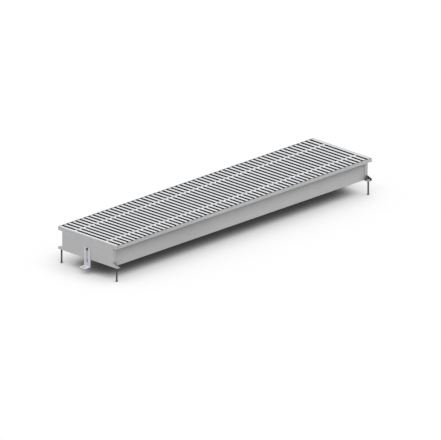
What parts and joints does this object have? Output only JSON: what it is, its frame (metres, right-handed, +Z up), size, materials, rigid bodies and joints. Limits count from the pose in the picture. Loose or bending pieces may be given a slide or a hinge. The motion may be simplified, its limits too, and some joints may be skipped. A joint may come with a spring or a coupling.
{
  "type": "trench convector heater",
  "caption": "Shallow floor channel heater with a roll-up bar grille over a finned pipe, levelling screws at the corners and a slotted fixing bracket at each end.",
  "frame": {"origin": "on the structural floor below the middle of the channel, at the height of the levelling screw tips", "axes": "+X along the channel away from the pipe connections, +Y to the back wall, +Z up"},
  "size_m": [1.0402, 0.231, 0.1075],
  "materials": {
    "shell": "satin",
    "bracket": "zinc plated",
    "bar": "satin anodised",
    "sleeve": "matte",
    "cord": "satin",
    "screw": "dark zinc",
    "seat": "matte",
    "cap": "matte",
    "copper": "drawn copper tube",
    "fin": "mill finish",
    "brass": "turned"
  },
  "bodies": {
    "casing": {"casing_tray": "shell", "near_end_plate": "shell", "far_end_plate": "shell", "end_plate_rivets": "screw", "grille_seat_strips": "seat", "levelling_nuts": "screw", "clamp_screws": "screw", "clamp_nuts": "screw", "exchanger_fins": "fin", "exchanger_pipes": "copper", "exchanger_bend": "copper", "exchanger_supports": "shell", "support_rivets": "screw", "pipe_unions": "brass", "air_vent_boss": "brass"},
    "vent_screw": {"air_vent_screw": "brass"},
    "near_bracket": {"near_fixing_bracket": "bracket"},
    "far_bracket": {"far_fixing_bracket": "bracket"},
    "foot_1": {"screw_foot_1": "cap"},
    "screw_1": {"levelling_screw_1": "screw"},
    "foot_2": {"screw_foot_2": "cap"},
    "screw_2": {"levelling_screw_2": "screw"},
    "foot_3": {"screw_foot_3": "cap"},
    "screw_3": {"levelling_screw_3": "screw"},
    "foot_4": {"screw_foot_4": "cap"},
    "screw_4": {"levelling_screw_4": "screw"},
    "grille": {"grille_bars": "bar", "grille_spacers": "sleeve", "grille_cords": "cord"},
    "roll_1": {"roll_bars_1": "bar", "roll_spacers_1": "sleeve", "roll_cords_1": "cord"},
    "roll_2": {"roll_bars_2": "bar", "roll_spacers_2": "sleeve", "roll_cords_2": "cord"},
    "roll_3": {"roll_bars_3": "bar", "roll_spacers_3": "sleeve", "roll_cords_3": "cord"},
    "roll_4": {"roll_bars_4": "bar", "roll_spacers_4": "sleeve", "roll_cords_4": "cord"},
    "roll_5": {"roll_bars_5": "bar", "roll_spacers_5": "sleeve", "roll_cords_5": "cord"},
    "roll_6": {"roll_bars_6": "bar", "roll_spacers_6": "sleeve", "roll_cords_6": "cord"},
    "roll_7": {"roll_bars_7": "bar", "roll_spacers_7": "sleeve", "roll_cords_7": "cord"},
    "roll_8": {"roll_bars_8": "bar", "roll_spacers_8": "sleeve", "roll_cords_8": "cord"}
  },
  "joints": [
    {"name": "grille_lift", "type": "slide", "parent": "casing", "child": "grille", "axis": [0, 0, 1], "range_m": [0, 0.15]},
    {"name": "near_bracket_slide", "type": "slide", "parent": "casing", "child": "near_bracket", "axis": [0, 0, 1], "range_m": [0, 0.037]},
    {"name": "far_bracket_slide", "type": "slide", "parent": "casing", "child": "far_bracket", "axis": [0, 0, 1], "range_m": [0, 0.037]},
    {"name": "vent_screw_turn", "type": "hinge", "parent": "casing", "child": "vent_screw", "pos_m": [-0.35, -0.034, 0.0815], "axis": [0, 0, 1], "range_deg": [0, 540]},
    {"name": "foot_1_rise", "type": "slide", "parent": "casing", "child": "foot_1", "axis": [0, 0, 1], "range_m": [0, 0.035]},
    {"name": "screw_1_turn", "type": "hinge", "parent": "foot_1", "child": "screw_1", "pos_m": [-0.4935, -0.1078, 0], "axis": [0, 0, 1], "range_deg": [0, 15750]},
    {"name": "foot_2_rise", "type": "slide", "parent": "casing", "child": "foot_2", "axis": [0, 0, 1], "range_m": [0, 0.035]},
    {"name": "screw_2_turn", "type": "hinge", "parent": "foot_2", "child": "screw_2", "pos_m": [-0.4935, 0.1078, 0], "axis": [0, 0, 1], "range_deg": [0, 15750]},
    {"name": "foot_3_rise", "type": "slide", "parent": "casing", "child": "foot_3", "axis": [0, 0, 1], "range_m": [0, 0.035]},
    {"name": "screw_3_turn", "type": "hinge", "parent": "foot_3", "child": "screw_3", "pos_m": [0.4935, -0.1078, 0], "axis": [0, 0, 1], "range_deg": [0, 15750]},
    {"name": "foot_4_rise", "type": "slide", "parent": "casing", "child": "foot_4", "axis": [0, 0, 1], "range_m": [0, 0.035]},
    {"name": "screw_4_turn", "type": "hinge", "parent": "foot_4", "child": "screw_4", "pos_m": [0.4935, 0.1078, 0], "axis": [0, 0, 1], "range_deg": [0, 15750]},
    {"name": "roll_hinge_1", "type": "hinge", "parent": "grille", "child": "roll_1", "pos_m": [-0.22545, 0, 0.10655], "axis": [0, 1, 0], "range_deg": [0, 26]},
    {"name": "roll_hinge_2", "type": "hinge", "parent": "roll_1", "child": "roll_2", "pos_m": [-0.25952, 0, 0.10655], "axis": [0, 1, 0], "range_deg": [0, 26]},
    {"name": "roll_hinge_3", "type": "hinge", "parent": "roll_2", "child": "roll_3", "pos_m": [-0.29359, 0, 0.10655], "axis": [0, 1, 0], "range_deg": [0, 26]},
    {"name": "roll_hinge_4", "type": "hinge", "parent": "roll_3", "child": "roll_4", "pos_m": [-0.32765, 0, 0.10655], "axis": [0, 1, 0], "range_deg": [0, 26]},
    {"name": "roll_hinge_5", "type": "hinge", "parent": "roll_4", "child": "roll_5", "pos_m": [-0.36172, 0, 0.10655], "axis": [0, 1, 0], "range_deg": [0, 26]},
    {"name": "roll_hinge_6", "type": "hinge", "parent": "roll_5", "child": "roll_6", "pos_m": [-0.39579, 0, 0.10655], "axis": [0, 1, 0], "range_deg": [0, 26]},
    {"name": "roll_hinge_7", "type": "hinge", "parent": "roll_6", "child": "roll_7", "pos_m": [-0.42986, 0, 0.10655], "axis": [0, 1, 0], "range_deg": [0, 26]},
    {"name": "roll_hinge_8", "type": "hinge", "parent": "roll_7", "child": "roll_8", "pos_m": [-0.46393, 0, 0.10655], "axis": [0, 1, 0], "range_deg": [0, 26]}
  ],
  "couplings": [
    {"joint": "screw_1_turn", "follows": "foot_1_rise", "rad_per_m": 7854},
    {"joint": "screw_2_turn", "follows": "foot_2_rise", "rad_per_m": 7854},
    {"joint": "screw_3_turn", "follows": "foot_3_rise", "rad_per_m": 7854},
    {"joint": "screw_4_turn", "follows": "foot_4_rise", "rad_per_m": 7854}
  ]
}
